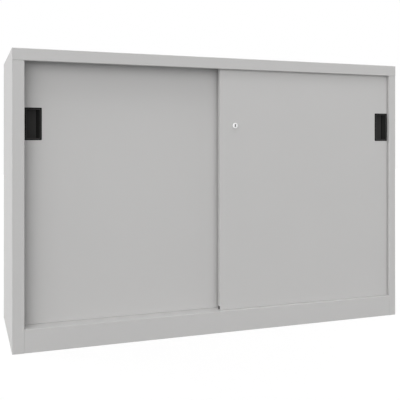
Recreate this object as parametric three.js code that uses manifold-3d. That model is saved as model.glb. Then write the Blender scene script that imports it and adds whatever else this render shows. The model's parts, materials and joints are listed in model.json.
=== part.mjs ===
// Sliding door cabinet in folded sheet steel, in millimetres.
// +X runs to the right, +Y to the back, +Z up. The origin is on the floor, under the middle.
// Each sub-part is a solid of its own, made from flat sheets that meet at their folds.

import * as THREE from 'three';
import { mergeVertices } from 'three/addons/utils/BufferGeometryUtils.js';
import Module from 'manifold-3d';

const wasm = await Module();
wasm.setup();

// Overall size
const width = 1500;
const depth = 450;
const height = 1000;

// Sheet steel, the gap between pieces that touch, and how far a cutter runs past its cut
const sheet = 1;
const seat = 0.3;
const overrun = 5;

// Cabinet body
const railHeight = 40;
const railReturn = 12;
const topRearFlange = 28;
const leftStile = 40;
const rightStile = 30;
const stileReturn = 10.7;
const rearFlange = 15;
const floorFlange = 20;
const plinthHeight = 78;
const plinthReturn = 24;
const rearRailWidth = 22;
const rearRailInset = 9;

// Doors: trays that hang behind the rail, the front one to the right
const doorRecess = 15;
const doorThickness = 18;
const doorGap = 20;
const doorFootGap = 0.6;
const doorRise = 12;
const doorOverlap = 20;
const doorEndGap = 10;
const doorLip = 12;
const doorHoldBack = 110;

// Channel along the foot of a door, and the guide that stands in it
const channelHeight = 14;
const channelEdge = 1.5;
const guideSlack = 1.7;
const guideLength = 30;
const guideHeight = 9.6;
const guidePlate = 2;
const guideEar = 10;
const guideInset = 55;

// Stiffener on the back of a door
const stiffenerWeb = 40;
const stiffenerFoot = 12;
const stiffenerEndGap = 20;

// Flush pull: bezel, cup and the sloped wall that the fingers pull on
const pullWidth = 58;
const pullHeight = 110;
const pullDrop = 246;
const pullProud = 1.2;
const pullBorder = 5;
const pullRadius = 2.5;
const pullWall = 1.5;
const pullDepth = 12;
const pullSlope = 11;
const frontPullInset = 20;
const rearPullInset = 34;

// Top tracks
const trackWidth = 28;
const trackHeight = 21.7;
const trackSheet = 1.2;
const trackFrontLip = 16;
const trackSlot = 5.5;

// Hangers and their rollers
const hangerInset = 100;
const hangerLength = 50;
const hangerSheet = 2;
const hangerFoot = 12;
const hangerSlack = 2;
const hangerTopGap = 3;
const rollerRadius = 8;
const rollerWidth = 9;
const rollerStandOff = 3;
const axleRadius = 2.5;
const axleHeadRadius = 4;
const axleHead = 1.5;
const stopLength = 14;

// Rubber buffers
const bufferWidth = 12;
const bufferHeight = 30;

// Cam lock, turning on a line from front to back
const lockInset = 58;
const collarRadius = 10;
const collarProud = 8;
const barrelRadius = 8;
const barrelPast = 2;
const lockNutRadius = 12;
const lockNutThickness = 4;
const plugRadius = 6;
const plugSunk = 0.5;
const plugTailRadius = 4;
const keyWidth = 1.8;
const keyHeight = 7.5;
const keyDepth = 6;
const camLength = 40;
const camWidth = 12;
const camThickness = 2;
const camScrewRadius = 6;
const camScrewHead = 2.4;

// Keeper bracket on the rear door
const keeperSheet = 2;
const keeperHeight = 26;
const keeperLift = 18;
const keeperReach = 30;
const keeperFoot = 18;
const keeperFrontGap = 1.5;
const keeperDoorGap = 3;

// Shelf uprights, clips and shelves
const uprightWidth = 20;
const uprightDepth = 12;
const uprightInset = 35;
const uprightTopGap = 30;
const slotPitch = 48;
const slotWidth = 3;
const slotHeight = 12;
const slotStart = 36;
const shelfFront = 85;
const shelfBackGap = 4;
const shelfFold = 25;
const shelfReturn = 12;
const shelfSideGap = 1.7;
const clipReach = 20;
const clipWidth = 16;
const clipSheet = 2;
const clipDrop = 18;
const clipHookDepth = 3;
const clipHookWidth = 2.2;
const clipHookHeight = 8;

// Slots on an upright below the clips of each shelf
const lowerShelfSlotCount = 5;
const upperShelfSlotCount = 11;

// Levelling feet
const footInset = 50;
const padRadius = 15;
const padHeight = 5;
const padNeckRadius = 6;
const padNeckHeight = 9;
const studRadius = 4;

// Facets round a full turn
const smallFacets = 24;
const wheelFacets = 32;
const cornerFacets = 4;
const nutFacets = 6;

// Places that several pieces share
const halfWidth = width / 2;
const frontY = -depth / 2;
const backY = depth / 2;
const railFoot = height - railHeight;
const innerX = halfWidth - sheet - seat;
const flangeY = backY - sheet - seat;
const underTop = height - sheet - seat;
const floorTop = plinthHeight + seat;
const doorEdge = halfWidth - doorEndGap;
const doorWidth = doorEdge + doorOverlap / 2;
const doorFoot = plinthHeight + doorFootGap;
const doorHead = railFoot + doorRise;
const doorPitch = doorThickness + doorGap;
const doorTravel = doorWidth - doorHoldBack;
const pullCentre = height - pullDrop;
const bufferCentre = height / 2;
const trackFoot = underTop - trackHeight;
const rollerZ = trackFoot + trackSheet + seat + rollerRadius;
const uprightFoot = floorTop;
const uprightHead = height - railHeight - uprightTopGap;
const uprightFrontY = frontY + shelfFront + uprightInset;
const uprightBackY = backY - uprightInset;

// Materials
const material = (color, roughness, metalness) =>
  new THREE.MeshStandardMaterial({ color, roughness, metalness });
const greyPaint = material(0xc2c2c0, 0.45, 0);
const zincSteel = material(0xa9adb0, 0.4, 0.9);
const blackPlastic = material(0x1d1d1f, 0.5, 0);
const chrome = material(0xe6e8ea, 0.12, 1);
const whiteNylon = material(0xe9e8e2, 0.5, 0);
const blackRubber = material(0x181818, 0.8, 0);

const cabinet = new THREE.Group();

// Solids

function solidOf(geometry) {
  const bare = geometry.clone();
  bare.deleteAttribute('normal');
  bare.deleteAttribute('uv');
  const merged = mergeVertices(bare);
  const mesh = new wasm.Mesh({
    numProp: 3,
    vertProperties: Float32Array.from(merged.attributes.position.array),
    triVerts: Uint32Array.from(merged.index.array),
  });
  return new wasm.Manifold(mesh);
}

// As one original, its flat faces lose the needless points that joins and cuts leave on them
function geometryOf(solid) {
  const mesh = solid.asOriginal().simplify().getMesh();
  const geometry = new THREE.BufferGeometry();
  geometry.setAttribute('position', new THREE.BufferAttribute(mesh.vertProperties, 3));
  geometry.setIndex(new THREE.BufferAttribute(mesh.triVerts, 1));
  geometry.computeVertexNormals();
  return geometry;
}

// Puts the two ends of a prism at exactly these values on one axis
function setEnds(geometry, axis, [low, high]) {
  const position = geometry.attributes.position;
  const values = Array.from({ length: position.count }, (_, index) => position.getComponent(index, axis));
  const middle = (Math.min(...values) + Math.max(...values)) / 2;
  values.forEach((value, index) => position.setComponent(index, axis, value < middle ? low : high));
  return geometry;
}

// A block between two values on each axis
function block(xs, ys, zs) {
  const geometry = new THREE.BoxGeometry(1, 1, 1);
  [xs, ys, zs].forEach((ends, axis) => setEnds(geometry, axis, ends));
  return solidOf(geometry);
}

// A rod from front to back
function rod(radius, x, ys, z, facets = smallFacets) {
  const geometry = new THREE.CylinderGeometry(radius, radius, 1, facets);
  geometry.translate(x, 0, z);
  return solidOf(setEnds(geometry, 1, ys));
}

// A plate with rounded corners, its face towards the front
function roundedPlate([x0, x1], ys, [z0, z1], radius) {
  const shape = new THREE.Shape();
  shape.absarc(x1 - radius, z1 - radius, radius, 0, Math.PI / 2);
  shape.absarc(x0 + radius, z1 - radius, radius, Math.PI / 2, Math.PI);
  shape.absarc(x0 + radius, z0 + radius, radius, Math.PI, Math.PI * 1.5);
  shape.absarc(x1 - radius, z0 + radius, radius, Math.PI * 1.5, Math.PI * 2);
  shape.closePath();
  const options = { depth: 1, bevelEnabled: false, curveSegments: cornerFacets };
  const geometry = new THREE.ExtrudeGeometry(shape, options);
  geometry.rotateX(Math.PI / 2);
  return solidOf(setEnds(geometry, 1, ys));
}

const join = (...solids) => solids.reduce((whole, next) => whole.add(next));
const cut = (whole, ...tools) => tools.reduce((rest, tool) => rest.subtract(tool), whole);
const around = (middle, size) => [middle - size / 2, middle + size / 2];
const recessed = (from, to) => [frontY + from, frontY + to];

// The same span on the other hand: side is 1 as given, -1 mirrored in X
const handed = (side, [a, b]) => (side > 0 ? [a, b] : [-b, -a]);

function add(name, solid, finish) {
  const mesh = new THREE.Mesh(geometryOf(solid), finish);
  mesh.name = name;
  cabinet.add(mesh);
}

// Cabinet body

function sidePanel(side, stileWidth) {
  const wall = handed(side, [halfWidth - sheet, halfWidth]);
  const stile = handed(side, [halfWidth - stileWidth, halfWidth]);
  const returned = handed(side, [halfWidth - stileWidth, halfWidth - stileWidth + sheet]);
  const flange = handed(side, [halfWidth - sheet - rearFlange, halfWidth]);
  const floor = handed(side, [halfWidth - sheet - floorFlange, halfWidth]);
  const stileTop = railFoot - seat;
  const panel = join(
    block(wall, [frontY, backY], [0, underTop]),
    block(stile, recessed(0, sheet), [0, stileTop]),
    block(returned, recessed(0, stileReturn), [0, stileTop]),
    block(flange, [flangeY - sheet, flangeY], [0, underTop]),
    block(floor, [frontY + stileReturn, flangeY], [0, sheet]),
  );
  const past = handed(side, [halfWidth - sheet - overrun, halfWidth + overrun]);
  const railRoom = block(past, recessed(-overrun, sheet + seat), [stileTop, height + overrun]);
  return cut(panel, railRoom);
}

function topPanel() {
  const inside = [-innerX, innerX];
  const rearSpan = halfWidth - sheet - rearFlange - seat;
  return join(
    block([-halfWidth, halfWidth], [frontY, backY], [height - sheet, height]),
    block([-halfWidth, halfWidth], recessed(0, sheet), [railFoot, height]),
    block(inside, recessed(0, railReturn), [railFoot, railFoot + sheet]),
    block([-rearSpan, rearSpan], [flangeY - sheet, flangeY], [height - topRearFlange, height]),
  );
}

function backPanel() {
  return block([-innerX, innerX], [backY - sheet, backY], [sheet, underTop]);
}

function basePanel() {
  const left = -halfWidth + leftStile + seat;
  const right = halfWidth - rightStile - seat;
  const behindStiles = frontY + stileReturn + seat;
  const rear = flangeY - sheet - seat;
  const floor = [plinthHeight - sheet, plinthHeight];
  return join(
    block([left, right], [frontY, behindStiles + sheet], floor),
    block([-innerX, innerX], [behindStiles, rear], floor),
    block([left, right], recessed(0, sheet), [0, plinthHeight]),
    block([left, right], recessed(0, plinthReturn), [0, sheet]),
  );
}

function rearRail() {
  const under = plinthHeight - sheet - seat;
  const span = [-innerX + floorFlange + seat, innerX - floorFlange - seat];
  const web = backY - rearRailInset;
  const lips = [web - rearRailWidth, web];
  return join(
    block(span, [web - sheet, web], [0, under]),
    block(span, lips, [under - sheet, under]),
    block(span, lips, [0, sheet]),
  );
}

function levellingFoot(x, y) {
  const top = plinthHeight - sheet - seat;
  const outline = [
    new THREE.Vector2(0, 0),
    new THREE.Vector2(padRadius, 0),
    new THREE.Vector2(padRadius, padHeight),
    new THREE.Vector2(padNeckRadius, padNeckHeight),
    new THREE.Vector2(studRadius, padNeckHeight),
    new THREE.Vector2(studRadius, top),
    new THREE.Vector2(0, top),
  ];
  const geometry = new THREE.LatheGeometry(outline, smallFacets);
  geometry.rotateX(Math.PI / 2);
  geometry.translate(x, y, 0);
  return solidOf(geometry);
}

// Doors: side is 1 for the front door, which closes to the right, and -1 for the rear door

const doorFaceRecess = (side) => (side > 0 ? doorRecess : doorRecess + doorPitch);
const doorSpan = (side) => handed(side, [doorEdge - doorWidth, doorEdge]);
const pullEdge = (side) => doorEdge - (side > 0 ? frontPullInset : rearPullInset);
const pullSpan = (side) => handed(side, [pullEdge(side) - pullWidth, pullEdge(side)]);
const lockX = doorEdge - doorWidth + lockInset;

function doorTray(side) {
  const face = doorFaceRecess(side);
  const back = face + doorThickness;
  const [left, right] = doorSpan(side);
  const tall = [doorFoot, doorHead];
  return join(
    block([left, right], recessed(face, face + sheet), tall),
    block([left, left + sheet], recessed(face, back), tall),
    block([right - sheet, right], recessed(face, back), tall),
    block([left, right], recessed(face, back), [doorHead - sheet, doorHead]),
    block([left, left + doorLip], recessed(back - sheet, back), tall),
    block([right - doorLip, right], recessed(back - sheet, back), tall),
    block([left, right], recessed(back - sheet, back), [doorHead - doorLip, doorHead]),
  );
}

// The channel's open ends show as a notch at the foot of each edge
function doorPanel(side) {
  const face = doorFaceRecess(side);
  const [left, right] = doorSpan(side);
  const notchFrom = face + sheet + channelEdge;
  const notchTo = face + doorThickness - sheet - channelEdge;
  const notch = block(
    [left - overrun, right + overrun],
    recessed(notchFrom, notchTo),
    [doorFoot - overrun, doorFoot + channelHeight - sheet],
  );
  const [pullLeft, pullRight] = pullSpan(side);
  const cupInset = pullBorder - pullWall - seat;
  const cupHole = block(
    [pullLeft + cupInset, pullRight - cupInset],
    recessed(face - overrun, face + sheet + seat),
    around(pullCentre, pullHeight - 2 * cupInset),
  );
  const tray = cut(doorTray(side), notch, cupHole);
  if (side < 0) {
    return tray;
  }
  const lockHole = rod(barrelRadius + seat, lockX, recessed(-overrun, face + overrun), pullCentre);
  return cut(tray, lockHole);
}

function footChannel(side) {
  const face = doorFaceRecess(side);
  const front = face + sheet + seat;
  const back = face + doorThickness - sheet - seat;
  const [left, right] = doorSpan(side);
  const long = [left + sheet + seat, right - sheet - seat];
  const top = doorFoot + channelHeight;
  return join(
    block(long, recessed(front, front + sheet), [doorFoot, top]),
    block(long, recessed(back - sheet, back), [doorFoot, top]),
    block(long, recessed(front, back), [top - sheet, top]),
  );
}

function doorStiffener(side) {
  const face = doorFaceRecess(side);
  const front = face + sheet + seat;
  const back = face + doorThickness - sheet - seat;
  const [left, right] = doorSpan(side);
  const middle = (left + right) / 2;
  const tall = [doorFoot + channelHeight + stiffenerEndGap, doorHead - stiffenerEndGap];
  const feet = around(middle, stiffenerWeb + 2 * stiffenerFoot);
  const web = around(middle, stiffenerWeb);
  const hat = block(web, recessed(front, back), tall);
  const hollow = block(
    around(middle, stiffenerWeb - 2 * sheet),
    recessed(front - overrun, back - sheet),
    [tall[0] - overrun, tall[1] + overrun],
  );
  return cut(join(block(feet, recessed(front, front + sheet), tall), hat), hollow);
}

function flushPull(side) {
  const face = doorFaceRecess(side);
  const [left, right] = pullSpan(side);
  const tall = around(pullCentre, pullHeight);
  const cupInset = pullBorder - pullWall;
  const cupTall = around(pullCentre, pullHeight - 2 * cupInset);
  const mouthTall = around(pullCentre, pullHeight - 2 * pullBorder);
  const bezelDeep = recessed(face - pullProud - seat, face - seat);
  const bezel = roundedPlate([left, right], bezelDeep, tall, pullRadius);
  const cupBack = face + pullDepth + pullWall;
  const cup = block([left + cupInset, right - cupInset], recessed(face - pullProud, cupBack), cupTall);
  const mouthLeft = left + pullBorder;
  const mouthRight = right - pullBorder;
  const [mouthY, floorY] = recessed(face - pullProud - overrun, face + pullDepth);
  const [faceY] = recessed(face, face);
  const hollow = new THREE.Shape([
    new THREE.Vector2(mouthLeft, mouthY),
    new THREE.Vector2(mouthRight, mouthY),
    new THREE.Vector2(mouthRight, faceY),
    new THREE.Vector2(mouthRight - pullSlope, floorY),
    new THREE.Vector2(mouthLeft, floorY),
  ]);
  const geometry = new THREE.ExtrudeGeometry(hollow, { depth: 1, bevelEnabled: false });
  return cut(join(bezel, cup), solidOf(setEnds(geometry, 2, mouthTall)));
}

// Tracks, hangers and rollers

const trackStart = (side) => doorFaceRecess(side) + (doorThickness - trackWidth) / 2;
const slotStartOf = (side) => trackStart(side) + trackFrontLip;
const plateStart = (side) => slotStartOf(side) + hangerSlack;
const rollerEnd = (side) => plateStart(side) - rollerStandOff;
const closedHangerX = (side, along) => {
  const [left, right] = doorSpan(side);
  return along < 0 ? left + hangerInset : right - hangerInset;
};

function topTrack(side) {
  const start = trackStart(side);
  const end = start + trackWidth;
  const long = [-innerX, innerX];
  const foot = [trackFoot, trackFoot + trackSheet];
  return join(
    block(long, recessed(start, end), [underTop - trackSheet, underTop]),
    block(long, recessed(start, start + trackSheet), [trackFoot, underTop]),
    block(long, recessed(end - trackSheet, end), [trackFoot, underTop]),
    block(long, recessed(start, start + trackFrontLip), foot),
    block(long, recessed(start + trackFrontLip + trackSlot, end), foot),
  );
}

function hanger(side, along) {
  const x = closedHangerX(side, along);
  const plate = plateStart(side);
  const foot = doorHead + seat;
  const head = underTop - trackSheet - hangerTopGap;
  const long = around(x, hangerLength);
  const back = plate + hangerSheet;
  const bracket = join(
    block(long, recessed(back - hangerFoot, back), [foot, foot + hangerSheet]),
    block(long, recessed(plate, back), [foot, head]),
  );
  const bore = rod(axleRadius + seat, x, recessed(plate - overrun, back + overrun), rollerZ);
  return cut(bracket, bore);
}

function axle(side, along) {
  const x = closedHangerX(side, along);
  const rollerStart = rollerEnd(side) - rollerWidth;
  const plateEnd = plateStart(side) + hangerSheet;
  const front = rollerStart - seat - axleHead;
  const back = plateEnd + seat + axleHead;
  const collar = [rollerEnd(side) + seat, plateStart(side) - seat];
  return join(
    rod(axleRadius, x, recessed(front, back), rollerZ),
    rod(axleHeadRadius, x, recessed(front, front + axleHead), rollerZ),
    rod(axleHeadRadius, x, recessed(collar[0], collar[1]), rollerZ),
    rod(axleHeadRadius, x, recessed(back - axleHead, back), rollerZ),
  );
}

function roller(side, along) {
  const x = closedHangerX(side, along);
  const end = rollerEnd(side);
  const start = end - rollerWidth;
  const wheel = rod(rollerRadius, x, recessed(start, end), rollerZ, wheelFacets);
  const bore = rod(axleRadius + seat, x, recessed(start - overrun, end + overrun), rollerZ);
  return cut(wheel, bore);
}

// It stops the leading hanger when the door has run its whole travel
function trackStop(side) {
  const leading = closedHangerX(side, -side) - side * (doorTravel + hangerLength / 2 + seat);
  const long = handed(side, [side * leading - stopLength, side * leading]);
  const from = trackStart(side) + trackSheet + seat;
  const to = trackStart(side) + trackWidth - trackSheet - seat;
  const tall = [trackFoot + trackSheet + seat, underTop - trackSheet - seat];
  return block(long, recessed(from, to), tall);
}

function bottomGuide(side) {
  const face = doorFaceRecess(side);
  const x = side * (guideInset - doorOverlap / 2);
  const front = face + 2 * sheet + seat + guideSlack;
  const back = face + doorThickness - 2 * sheet - seat - guideSlack;
  const deep = recessed(front, back);
  const plateTop = floorTop + guidePlate;
  return join(
    block(around(x, guideLength + 2 * guideEar), deep, [floorTop, plateTop]),
    block(around(x, guideLength), deep, [floorTop, plateTop + guideHeight]),
  );
}

function buffer(side) {
  const long = handed(side, [doorEdge + seat, innerX]);
  const middle = doorFaceRecess(side) + doorThickness / 2;
  const deep = recessed(middle - bufferWidth / 2, middle + bufferWidth / 2);
  return block(long, deep, around(bufferCentre, bufferHeight));
}

// Lock

const barrelEnd = doorRecess + doorThickness + barrelPast;
const camStart = barrelEnd + seat;
const camEnd = camStart + camThickness;

function lockHousing() {
  const collarBack = doorRecess - seat;
  const collarFront = collarBack - collarProud;
  const shell = join(
    rod(collarRadius, lockX, recessed(collarFront, collarBack), pullCentre),
    rod(barrelRadius, lockX, recessed(collarFront, barrelEnd), pullCentre),
  );
  const through = recessed(collarFront - overrun, barrelEnd + overrun);
  return cut(shell, rod(plugRadius + seat, lockX, through, pullCentre));
}

function lockNut() {
  const front = doorRecess + sheet + seat;
  const deep = recessed(front, front + lockNutThickness);
  const ring = rod(lockNutRadius, lockX, deep, pullCentre, nutFacets);
  const through = [deep[0] - overrun, deep[1] + overrun];
  return cut(ring, rod(barrelRadius + seat, lockX, through, pullCentre));
}

function lockPlug() {
  const front = doorRecess - seat - collarProud + plugSunk;
  const body = join(
    rod(plugRadius, lockX, recessed(front, barrelEnd), pullCentre),
    rod(plugTailRadius, lockX, recessed(front, camEnd), pullCentre),
  );
  const keyway = block(
    around(lockX, keyWidth),
    recessed(front - overrun, front + keyDepth),
    around(pullCentre, keyHeight),
  );
  return cut(body, keyway);
}

// Unlocked it points to the right
function lockCam() {
  const deep = recessed(camStart, camEnd);
  const arm = join(
    rod(camWidth / 2, lockX, deep, pullCentre),
    block([lockX, lockX + camLength], deep, around(pullCentre, camWidth)),
  );
  const through = [deep[0] - overrun, deep[1] + overrun];
  return cut(arm, rod(plugTailRadius + seat, lockX, through, pullCentre));
}

function camScrew() {
  const front = camEnd + seat;
  return rod(camScrewRadius, lockX, recessed(front, front + camScrewHead), pullCentre);
}

function lockKeeper() {
  const doorRight = doorSpan(-1)[1];
  const start = doorRight + seat;
  const end = doorRight + keeperReach;
  const doorFace = doorFaceRecess(-1);
  const front = doorRecess + doorThickness + keeperFrontGap;
  const back = doorFace - keeperDoorGap;
  const foot = pullCentre + keeperLift;
  const tall = [foot, foot + keeperHeight];
  return join(
    block([start, start + keeperSheet], recessed(back, doorFace + keeperFoot - keeperDoorGap), tall),
    block([start, end], recessed(back, back + keeperSheet), tall),
    block([end - keeperSheet, end], recessed(front, back + keeperSheet), tall),
  );
}

// Shelving: side is 1 to the right, -1 to the left

const slotZ = (index) => uprightFoot + slotStart + index * slotPitch;
const shelfZ = (slot) => slotZ(slot) + clipHookHeight / 2 + clipSheet + seat + sheet;

function upright(side, y) {
  const wallX = innerX;
  const webX = wallX - uprightDepth;
  const tall = [uprightFoot, uprightHead];
  const wide = around(y, uprightWidth);
  const post = block(handed(side, [webX, wallX]), wide, tall);
  const hollow = block(
    handed(side, [webX + sheet, wallX + overrun]),
    around(y, uprightWidth - 2 * sheet),
    [tall[0] - overrun, tall[1] + overrun],
  );
  const slots = [];
  for (let index = 0; slotZ(index) + slotHeight < uprightHead; index += 1) {
    const through = handed(side, [webX - overrun, webX + sheet + seat]);
    slots.push(block(through, around(y, slotWidth), around(slotZ(index), slotHeight)));
  }
  return cut(post, hollow, ...slots);
}

function shelfClip(side, y, slot) {
  const webX = innerX - uprightDepth;
  const plate = webX - seat - clipSheet;
  const top = shelfZ(slot) - sheet - seat;
  const wide = around(y, clipWidth);
  return join(
    block(handed(side, [plate, plate + clipSheet]), wide, [top - clipDrop, top]),
    block(handed(side, [plate - clipReach, plate + clipSheet]), wide, [top - clipSheet, top]),
    block(
      handed(side, [plate, webX + clipHookDepth]),
      around(y, clipHookWidth),
      around(slotZ(slot), clipHookHeight),
    ),
  );
}

function shelf(slot) {
  const half = innerX - uprightDepth - shelfSideGap;
  const front = frontY + shelfFront;
  const back = flangeY - sheet - shelfBackGap;
  const top = shelfZ(slot);
  const foot = top - shelfFold;
  const long = [-half, half];
  return join(
    block(long, [front, back], [top - sheet, top]),
    block(long, [front, front + sheet], [foot, top]),
    block(long, [back - sheet, back], [foot, top]),
    block(long, [front, front + shelfReturn], [foot, foot + sheet]),
    block(long, [back - shelfReturn, back], [foot, foot + sheet]),
  );
}

// Assembly

add('left_side_panel', sidePanel(-1, leftStile), greyPaint);
add('right_side_panel', sidePanel(1, rightStile), greyPaint);
add('top_panel', topPanel(), greyPaint);
add('back_panel', backPanel(), greyPaint);
add('base_panel', basePanel(), greyPaint);
add('base_rear_rail', rearRail(), greyPaint);

const hands = [['left', -1], ['right', 1]];
const ends = [['front', -1], ['rear', 1]];
const doors = [['front', 1], ['rear', -1]];

for (const [hand, side] of hands) {
  for (const [end, way] of ends) {
    const x = side * (halfWidth - footInset);
    const y = way * (backY - footInset);
    add(`levelling_foot_${end}_${hand}`, levellingFoot(x, y), zincSteel);
  }
}

for (const [door, side] of doors) {
  add(`${door}_door_panel`, doorPanel(side), greyPaint);
  add(`${door}_door_foot_channel`, footChannel(side), blackPlastic);
  add(`${door}_door_stiffener`, doorStiffener(side), greyPaint);
  add(`${door}_door_pull`, flushPull(side), blackPlastic);
  add(`${door}_top_track`, topTrack(side), zincSteel);
  add(`${door}_track_stop`, trackStop(side), blackRubber);
  add(`${door}_bottom_guide`, bottomGuide(side), whiteNylon);
  add(`${door}_door_buffer`, buffer(side), blackRubber);
  for (const [hand, along] of hands) {
    add(`${door}_door_hanger_${hand}`, hanger(side, along), zincSteel);
    add(`${door}_door_axle_${hand}`, axle(side, along), zincSteel);
    add(`${door}_door_roller_${hand}`, roller(side, along), whiteNylon);
  }
}

add('lock_housing', lockHousing(), chrome);
add('lock_nut', lockNut(), zincSteel);
add('lock_plug', lockPlug(), chrome);
add('lock_cam', lockCam(), zincSteel);
add('lock_cam_screw', camScrew(), zincSteel);
add('lock_keeper', lockKeeper(), zincSteel);

const uprightPlaces = [['front', uprightFrontY], ['rear', uprightBackY]];
const shelves = [['lower', lowerShelfSlotCount], ['upper', upperShelfSlotCount]];

for (const [hand, side] of hands) {
  for (const [end, y] of uprightPlaces) {
    add(`shelf_upright_${end}_${hand}`, upright(side, y), zincSteel);
    for (const [level, slot] of shelves) {
      add(`${level}_shelf_clip_${end}_${hand}`, shelfClip(side, y, slot), zincSteel);
    }
  }
}

for (const [level, slot] of shelves) {
  add(`${level}_shelf`, shelf(slot), greyPaint);
}

export default cabinet;
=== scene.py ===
# %% [markdown]
# # A steel cabinet with two sliding doors
#
# The cabinet is folded from sheet steel one millimetre thick and finished in light grey powder coat.
# Its solids are already packed, at their real size, so this lesson doesn't shape the cabinet again.
# It gives every sheet its bend radius and its cut edges, every plastic part its moulded corners, and
# every surface its finish. Then it lights the cabinet softly and looks at it from the left.

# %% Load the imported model
import json
from math import cos, pi, radians, sin

import bmesh
import bpy
from bmesh.types import BMEdge, BMFace, BMVert
from mathutils import Matrix, Vector


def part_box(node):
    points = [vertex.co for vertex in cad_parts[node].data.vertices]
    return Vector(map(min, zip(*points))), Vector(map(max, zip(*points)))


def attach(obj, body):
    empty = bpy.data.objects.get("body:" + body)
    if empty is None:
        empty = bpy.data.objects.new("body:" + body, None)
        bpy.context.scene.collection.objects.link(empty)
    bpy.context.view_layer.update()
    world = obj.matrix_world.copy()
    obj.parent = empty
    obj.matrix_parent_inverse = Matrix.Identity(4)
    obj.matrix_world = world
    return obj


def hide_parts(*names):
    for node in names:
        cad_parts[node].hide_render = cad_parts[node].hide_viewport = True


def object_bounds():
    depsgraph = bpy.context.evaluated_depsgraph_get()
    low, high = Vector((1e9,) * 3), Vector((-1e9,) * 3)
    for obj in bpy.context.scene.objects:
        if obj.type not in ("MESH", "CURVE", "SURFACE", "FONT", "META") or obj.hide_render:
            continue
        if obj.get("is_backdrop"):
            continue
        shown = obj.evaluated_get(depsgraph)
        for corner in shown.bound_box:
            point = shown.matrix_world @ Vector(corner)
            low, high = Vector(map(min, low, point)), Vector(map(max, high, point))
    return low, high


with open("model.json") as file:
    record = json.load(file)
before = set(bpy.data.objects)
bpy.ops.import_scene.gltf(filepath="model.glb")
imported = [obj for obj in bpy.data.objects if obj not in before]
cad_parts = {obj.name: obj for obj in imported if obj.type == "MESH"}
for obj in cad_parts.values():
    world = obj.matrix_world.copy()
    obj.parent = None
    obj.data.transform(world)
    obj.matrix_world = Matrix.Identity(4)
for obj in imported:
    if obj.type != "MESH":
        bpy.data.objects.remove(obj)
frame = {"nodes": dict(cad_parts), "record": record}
cad_low, cad_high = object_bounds()
scene = bpy.context.scene
record = frame["record"]
body_of = {node: body for body, nodes in record["behaviour"]["bodies"].items() for node in nodes}
slot_of = {part["node"]: part["material_slot"] for part in record["subparts"]}
ENDS = ("front", "rear")
LEVELS = ("lower", "upper")
SIDES = {"left": -1, "right": 1}


def box_of(node):
    """The node's lowest and highest corner as two plain lists."""
    low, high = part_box(node)
    return list(low), list(high)


def centre_of(node, **moved):
    """The middle of a node's box, moved along x, y or z to the places given."""
    low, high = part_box(node)
    centre = (low + high) / 2
    for axis, place in moved.items():
        setattr(centre, axis, place)
    return centre


print("size in metres:", [round(side, 4) for side in cad_high - cad_low])

# %% [markdown]
# ## The camera
#
# The photograph was taken with a level camera from the left of the cabinet, a little above its
# middle. The six corners that it shows give the camera's place and its focal length. They also show
# that the picture is cropped off centre, which the camera's shift repeats. The shift is measured
# from where the optical axis meets the picture, in shares of the picture's side.

# %% Camera
PHOTO_SIDE = 400
PHOTO_FOCAL = 608.1
PHOTO_AXIS_X = 165.9
PHOTO_AXIS_Y = 144.9
SENSOR = 36.0
CAMERA_PLACE = Vector((-0.8947, -2.2600, 0.6830))
CAMERA_YAW = radians(-18.27)

camera_data = bpy.data.cameras.new("camera")
camera_data.sensor_width = SENSOR
camera_data.lens = SENSOR * PHOTO_FOCAL / PHOTO_SIDE
camera_data.shift_x = 0.5 - PHOTO_AXIS_X / PHOTO_SIDE
camera_data.shift_y = PHOTO_AXIS_Y / PHOTO_SIDE - 0.5
camera = bpy.data.objects.new("camera", camera_data)
camera.location = CAMERA_PLACE
camera.rotation_euler = (radians(90), 0, CAMERA_YAW)
scene.collection.objects.link(camera)
scene.camera = camera
scene.view_settings.view_transform = "Standard"
shift = [round(part, 3) for part in (camera_data.shift_x, camera_data.shift_y)]
print("lens", round(camera_data.lens, 2), "mm, shift", shift)

# %% [markdown]
# ## Shader maths as plain expressions
#
# A material is a small network of nodes. Written out one node at a time it is hard to read, so a
# `Wire` wraps a socket and lets two of them be added, subtracted or multiplied as numbers are. Each
# operator adds one Math node. Every other node comes from `Network.node`, which takes the node's
# type, its settings, and what its sockets are given. A `Finish` is the network of one material.

# %% A wire and a network
class Wire:
    """A socket that can be used in a sum."""

    def __init__(self, network, socket):
        self.network = network
        self.socket = socket

    def maths(self, operation, first, second):
        return self.network.node("ShaderNodeMath", {"operation": operation}, {0: first, 1: second})

    def __add__(self, other):
        return self.maths("ADD", self, other)

    def __rsub__(self, other):
        return self.maths("SUBTRACT", other, self)

    def __mul__(self, other):
        return self.maths("MULTIPLY", self, other)

    def __pow__(self, other):
        return self.maths("POWER", self, other)

    def __gt__(self, other):
        return self.maths("GREATER_THAN", self, other)

    def __lt__(self, other):
        return self.maths("LESS_THAN", self, other)

    def at_least(self, other):
        return self.maths("MAXIMUM", self, other)

    __radd__ = __add__


class Network:
    """A node tree whose nodes are added one call at a time."""

    def __init__(self, tree):
        self.tree = tree

    def feed(self, socket, value):
        if isinstance(value, Wire):
            self.tree.links.new(value.socket, socket)
        else:
            socket.default_value = value

    def node(self, kind, settings=None, inputs=None, output=0):
        made = self.tree.nodes.new(kind)
        for setting, value in (settings or {}).items():
            setattr(made, setting, value)
        for socket, value in (inputs or {}).items():
            self.feed(made.inputs[socket], value)
        return Wire(self, made.outputs[output])


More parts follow.
